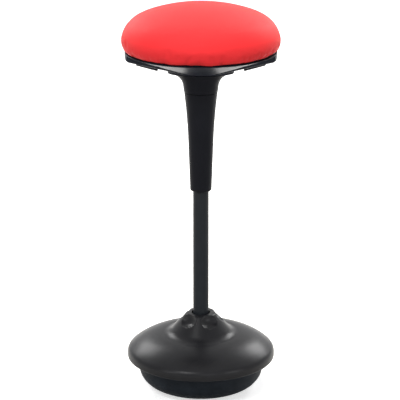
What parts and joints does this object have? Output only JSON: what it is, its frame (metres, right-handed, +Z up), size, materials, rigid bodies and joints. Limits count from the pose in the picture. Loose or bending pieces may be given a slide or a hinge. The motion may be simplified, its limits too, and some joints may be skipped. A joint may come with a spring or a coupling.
{
  "type": "wobble stool",
  "caption": "Height-adjustable wobble stool: round padded seat, telescopic column, domed cover over a rounded weighted base, and finger levers under the seat.",
  "frame": {"origin": "middle of the foot on the floor, below the column", "axes": "+Z up along the column, +X to the sitter's right, -Y to the front; the column is stored fully raised, as in the picture"},
  "size_m": [0.3356, 0.3356, 0.852],
  "materials": {
    "foot_rubber": "matt",
    "bowl_plastic": "smooth dark rubbery moulding",
    "cover_plastic": "fine satin texture",
    "sleeve_plastic": "satin",
    "dish_plastic": "satin",
    "lever_plastic": "satin",
    "ballast_iron": "rough",
    "black_steel": "satin black",
    "zinc_steel": "plated",
    "hard_steel": "ground",
    "rod_chrome": "polished",
    "white_nylon": "smooth",
    "plywood": "raw plywood",
    "seat_foam": null,
    "seat_fabric": "smooth matt woven coral-red cover"
  },
  "bodies": {
    "base": {"foot_pad": "foot_rubber", "rocker_shell": "bowl_plastic", "ballast": "ballast_iron", "base_cover": "cover_plastic", "cover_screws": "zinc_steel", "column_socket": "black_steel", "column_bolts": "zinc_steel", "column_nuts": "zinc_steel", "lower_tube": "black_steel", "guide_bush": "white_nylon", "lower_washer": "hard_steel", "ball_cage": "hard_steel"},
    "spindle": {"upper_washer": "hard_steel", "piston_rod": "rod_chrome", "rod_clip": "zinc_steel", "rubber_bumper": "foot_rubber"},
    "seat": {"gas_cylinder": "black_steel", "upper_sleeve": "sleeve_plastic", "neck_collar": "sleeve_plastic", "seat_shell": "dish_plastic", "shell_screws": "zinc_steel", "seat_board": "plywood", "tee_nuts": "zinc_steel", "seat_bracket": "black_steel", "bracket_bolts": "zinc_steel", "taper_socket": "black_steel", "right_lever_pin": "zinc_steel", "left_lever_pin": "zinc_steel", "seat_foam": "seat_foam", "seat_cover": "seat_fabric"},
    "right_lever": {"right_lever": "lever_plastic"},
    "left_lever": {"left_lever": "lever_plastic"},
    "release": {"valve_pin": "rod_chrome", "valve_presser": "zinc_steel"}
  },
  "joints": [
    {"name": "seat_swivel", "type": "hinge", "parent": "base", "child": "spindle", "pos_m": [0, 0, 0.05], "axis": [0, 0, 1], "continuous": true},
    {"name": "seat_lift", "type": "slide", "parent": "spindle", "child": "seat", "axis": [0, 0, 1], "range_m": [-0.215, 0]},
    {"name": "right_lever_pull", "type": "hinge", "parent": "seat", "child": "right_lever", "pos_m": [0.04, 0, 0.731], "axis": [0, -1, 0], "range_deg": [0, 6], "stiffness_Nm_per_rad": 2, "springref_deg": -5.73},
    {"name": "left_lever_pull", "type": "hinge", "parent": "seat", "child": "left_lever", "pos_m": [-0.04, 0, 0.731], "axis": [0, 1, 0], "range_deg": [0, 6]},
    {"name": "valve_press", "type": "slide", "parent": "seat", "child": "release", "axis": [0, 0, -1], "range_m": [0, 0.0042]}
  ],
  "couplings": [
    {"joint": "left_lever_pull", "follows": "right_lever_pull", "ratio": 1},
    {"joint": "valve_press", "follows": "right_lever_pull", "m_per_rad": 0.0401}
  ]
}
